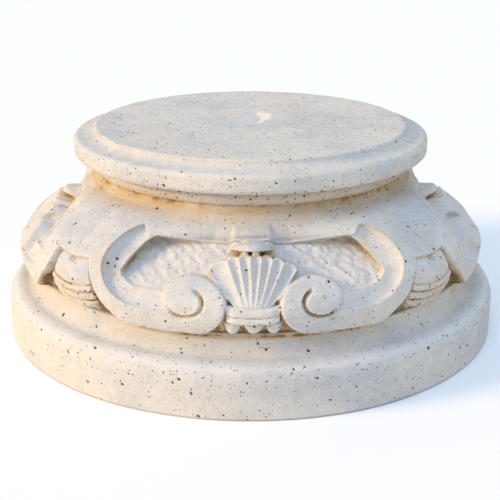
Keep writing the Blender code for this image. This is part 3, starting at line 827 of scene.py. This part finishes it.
# %% Round top
seat_radius, seat_round, hollow_drop = 131.5, 2.2, 6.7
band_radius, band_height, band_round = 149.0, 16.0, 4.5
bead_radius, bead_height, bead_bulge, bead_steps = 135.0, 12.2, 3.0, 14
hidden_radius, top_steps = 122.0, 900
hollow_foot = top_height - hollow_drop
band_foot = hollow_foot - band_height
bead_foot = band_foot - bead_height
outline = [(0.0, top_height), (seat_radius - seat_round, top_height)]
outline += quarter_arc(outline[-1], (seat_radius, top_height - seat_round), 4, False)[1:]
outline += quarter_arc(outline[-1], (band_radius - band_round, hollow_foot), 12, True)[1:]
outline += quarter_arc(outline[-1], (band_radius, hollow_foot - band_round), 7, False)[1:]
under_start, under_end = (band_radius - band_round, band_foot), (band_radius, band_foot + band_round)
outline += quarter_arc(under_start, under_end, 7, False)[::-1]
for i in range(bead_steps + 1):
    turn = math.pi * i / bead_steps
    out = bead_radius - bead_bulge + bead_bulge * math.sin(turn)
    outline.append((out, band_foot - bead_height * i / bead_steps))
outline = with_spacing(outline, turned_spacing) + [(hidden_radius, bead_foot), (0.0, bead_foot)]
round_top = turned("round_top", outline, top_steps)
print("round top with", len(round_top.data.polygons), "faces")

# %% [markdown]
# The broken pocket.
# A shallow piece has broken out of the seat near its middle. A cutter and a Boolean could take
# it out, but its walls are slopes of different steepness. So each side of its outline has its
# own slope, the depth at a point is the least that any side allows, and the seat's points are
# pushed down by it.

# %% Pocket in the seat
pocket_outline = ((-34, -24), (-8, -18), (3, -14), (9, -8), (17, 9), (19, 25), (7, 37), (-5, 31))
pocket_slopes = (0.45, 0.7, 0.6, 0.40, 0.36, 0.42, 0.6, 0.2)
pocket_depth = 6.0


def coordinates(mesh):
    points = np.empty(len(mesh.vertices) * 3)
    mesh.vertices.foreach_get("co", points)
    return points.reshape(-1, 3) / MM


seat = coordinates(round_top.data)
depth = np.full(len(seat), pocket_depth)
next_points = pocket_outline[1:] + pocket_outline[:1]
for (ax, ay), (bx, by), slope in zip(pocket_outline, next_points, pocket_slopes):
    long = math.hypot(bx - ax, by - ay)
    inside = ((bx - ax) * (seat[:, 1] - ay) - (by - ay) * (seat[:, 0] - ax)) / long
    depth = np.minimum(depth, slope * inside)
depth = np.clip(depth, 0, None) * (seat[:, 2] > top_height - 0.01)
seat[:, 2] -= depth
round_top.data.vertices.foreach_set("co", (seat * MM).ravel())
print("pocket", round(depth.max(), 1), "mm deep")

# %% [markdown]
# Dirt, painted shade, painted highlight and holes on the foot.
# A dark line, part dirt and part painted shade, lies where the body stands on the riser,
# weaker beside the buds, and a weak stain runs along the riser's foot. The slab's rounded edge
# is painted pale as a highlight, and its wall shows more holes near the top. Each is a soft band
# along the outline, so it is worked out from the height and the distance to the axis.

# %% Finish values of the foot
stain_dirt, stain_reach = 0.16, 9
line_level, line_half_width = riser_level - 2.5, 4.2
line_least, line_gain, line_turn = 0.25, 0.7, (0.2, 0.4)
wall_open, rim_open, rim_reach = 0.36, 0.7, 9


def store(mesh, label, values):
    attribute = mesh.attributes.new(label, "FLOAT", "POINT")
    attribute.data.foreach_set("value", values.astype(np.float32))


def beside(out, up, reach):
    """One at a point of the outline, given by its offsets, and zero beyond its reach."""
    return near(np.hypot(out, up), 0, reach)


spot = coordinates(foot_slab.data)
radius, level = np.hypot(spot[:, 0], spot[:, 1]), spot[:, 2]
from_bud = np.abs(np.mod(np.arctan2(spot[:, 0], spot[:, 1]), math.pi / 2) - math.pi / 4)
stain = stain_dirt * near(radius, riser_foot - 1, stain_reach)
stain = stain * ease(foot_height - 3, foot_height, level)
# The dark line where the body stands on the riser: part dirt, part painted shade under the overhang.
contact = near(level, line_level, line_half_width) * (radius < riser_foot - 4)
contact = contact * (line_least + line_gain * ease(*line_turn, from_bud))
store(foot_slab.data, "dirt_and_painted_light", np.maximum(stain, contact))
# The pale band on the rounded edge is a painted highlight.
store(foot_slab.data, "wear_and_highlight", beside(radius - foot_radius + 5, level - foot_height + 3, 6) * 0.9)
rim = near(level, foot_height - 8, rim_reach)
store(foot_slab.data, "open", np.where(level > foot_height - 0.5, 0.4, wall_open + rim_open * rim))
print("foot: dirt up to", round(float(np.maximum(stain, contact).max()), 2))

# %% [markdown]
# Dirt, wear, painted shade, painted highlight and holes on the round top.
# Rain doesn't wash the bead, so it is dirty all round. It is darkest under the band and where it
# meets the neck, which is part dirt and part painted shade. A little dirt lies in the hollow
# round the seat. The band's upper edge is pale, the broken pocket is painted pale as a
# highlight, and the bead shows the most holes.

# %% Finish values of the round top
bead_dirt, hollow_dirt, meeting_dirt_and_shade = 0.42, 0.2, 1.1
bead_open, seat_open, hollow_open, band_open = 1.7, 0.95, 0.3, 0.95
pocket_edge = 0.3

spot = coordinates(round_top.data)
radius, level = np.hypot(spot[:, 0], spot[:, 1]), spot[:, 2]
# Under the band and where the bead meets the neck: part dirt, part painted shade.
under_band = beside(radius - bead_radius, level - band_foot, 9) * 0.55
under_band += beside(radius - bead_radius + 3, level - band_foot, 4.5) * 0.6
under_bead = beside(radius - neck_radius, level - bead_foot, 7) * meeting_dirt_and_shade
in_hollow = beside(radius - seat_radius, level - hollow_foot, 6) * hollow_dirt
bead = (radius < band_radius - band_round) & (level < band_foot + 0.5)
# The band's upper edge is pale; the pocket is painted pale as a highlight.
wear_and_highlight = beside(radius - band_radius, level - hollow_foot, 5) * 0.6 + (depth > pocket_edge)
on_seat, on_hollow = level > top_height - 1, level > hollow_foot - 1
holes_open = np.select([bead, on_seat, on_hollow], [bead_open, seat_open, hollow_open], band_open)
store(round_top.data, "dirt_and_painted_light", np.maximum.reduce([under_band, under_bead, in_hollow, bead * bead_dirt]))
store(round_top.data, "wear_and_highlight", wear_and_highlight)
store(round_top.data, "open", holes_open)
print("round top: pocket of", int((depth > pocket_edge).sum()), "points")

# %% [markdown]
# Finished meshes.
# Each piece takes the weathering tree, and a Decimate modifier keeps it under 200,000
# triangles: it drops points where the surface is even and keeps them on edges and pits. The
# result becomes a plain mesh, smooth shaded, and the modifiers go.

# %% Weather, thin and finish
most_triangles = 196000
pits_per_m2 = 2600
pit_sizes = {"Smallest": 0.5 * MM, "Largest": 1.3 * MM, "Depth": 1.1 * MM}


def triangles(mesh):
    return sum(len(face.vertices) - 2 for face in mesh.polygons)


def finish_piece(obj, swell, seed):
    """Weathers a piece, thins its mesh where that is needed, and leaves no modifier on it."""
    values = {"Pits per m2": pits_per_m2, "Swell": swell * MM, "Seed": seed, "Stone": cast_stone}
    use_tree(obj, weather, {**values, **pit_sizes})
    whole = plain_mesh(obj)
    obj.modifiers.clear()
    obj.data = whole
    if triangles(whole) > most_triangles:
        thin = obj.modifiers.new("thin", "DECIMATE")
        thin.ratio = most_triangles / triangles(whole)
        obj.data = plain_mesh(obj)
        obj.modifiers.clear()
    obj.data.name = obj.name
    obj.data.shade_smooth()
    print(obj.name, "has", triangles(obj.data), "triangles")


finish_piece(carved_body, swell=0.9, seed=3)
finish_piece(foot_slab, swell=0.8, seed=5)
finish_piece(round_top, swell=0.8, seed=8)

# %% [markdown]
# Pieces on the frame.
# The pedestal is one casting, so its three meshes stand for one CAD node. They ride on its body
# and take the stone's finish.

# %% Pieces on the frame
for piece in (carved_body, foot_slab, round_top):
    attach(piece, "root")
    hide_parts("pedestal")
print("pieces on the frame:", carved_body.name, foot_slab.name, round_top.name)

# %% [markdown]
# The floor.
# The photograph shows the pedestal before a plain pale ground, so the floor is one pale face.

# %% Floor
floor_reach, floor_colour = 6.0, (0.95, 0.93, 0.905, 1)
floor_mesh = bpy.data.meshes.new("floor")
corners = [(x * floor_reach, y * floor_reach, 0) for x, y in ((-1, -1), (1, -1), (1, 1), (-1, 1))]
floor_mesh.from_pydata(corners, [], [(0, 1, 2, 3)])
floor = bpy.data.objects.new("floor", floor_mesh)
bpy.context.scene.collection.objects.link(floor)
pale_floor = bpy.data.materials.new("pale_floor")
pale_floor.use_nodes = True
floor_shader = pale_floor.node_tree.nodes["Principled BSDF"]
floor_shader.inputs["Base Color"].default_value = floor_colour
floor_shader.inputs["Roughness"].default_value = 0.95
floor_mesh.materials.append(pale_floor)
print("floor", 2 * floor_reach, "m wide")

# %% [markdown]
# Lights and sky.
# A warm light falls from low on the left, a cool one from high in front fills the shadows, and
# a pale sky lights the rest. Suns with a wide angle give the soft edges of a studio's lamps,
# and their light is the same everywhere on the piece.

# %% Lights and sky
sky_colour, sky_strength = (0.90, 0.98, 1.0, 1), 0.61


def lamp(name, azimuth, elevation, strength, colour, softness):
    """A sun that shines from this side of the camera's view and this height, in degrees."""
    light = bpy.data.lights.new(name, "SUN")
    light.energy, light.color, light.angle = strength, colour, math.radians(softness)
    obj = bpy.data.objects.new(name, light)
    bpy.context.scene.collection.objects.link(obj)
    az, el = math.radians(azimuth), math.radians(elevation)
    towards = Vector((math.sin(az) * math.cos(el), -math.cos(az) * math.cos(el), math.sin(el)))
    obj.rotation_euler = towards.to_track_quat("Z", "Y").to_euler()


lamp("key", azimuth=-75, elevation=21, strength=2.86, colour=(1.0, 0.70, 0.38), softness=18)
lamp("fill", azimuth=0, elevation=68, strength=1.46, colour=(0.36, 0.58, 1.0), softness=50)
sky = bpy.data.worlds.new("sky")
sky.use_nodes = True
sky.node_tree.nodes["Background"].inputs["Color"].default_value = sky_colour
sky.node_tree.nodes["Background"].inputs["Strength"].default_value = sky_strength
bpy.context.scene.world = sky
bpy.context.scene.view_settings.view_transform = "Standard"
print("key and fill light set")

# %% [markdown]
# The camera.
# It looks down on the pedestal by 19.8 degrees, as in the photograph, from a little under one
# metre away. Its place, its tilt and its lens come from the ellipses that the round edges of
# the foot and the seat make in the photograph.

# %% Camera
camera_away, camera_height, camera_tilt = 0.8486, 0.3599, math.radians(19.8)
camera_turn = math.radians(-0.5)
camera = bpy.data.objects.new("camera", bpy.data.cameras.new("camera"))
bpy.context.scene.collection.objects.link(camera)
camera.data.lens, camera.data.sensor_width, camera.data.shift_x = 73.25, 36, -0.0012
camera_x, camera_y = camera_away * math.sin(camera_turn), -camera_away * math.cos(camera_turn)
camera.location = (camera_x, camera_y, camera_height)
camera.rotation_euler = (math.pi / 2 - camera_tilt, 0, camera_turn)
bpy.context.scene.camera = camera
print("camera", round(camera.location.length, 3), "m from the foot's middle")
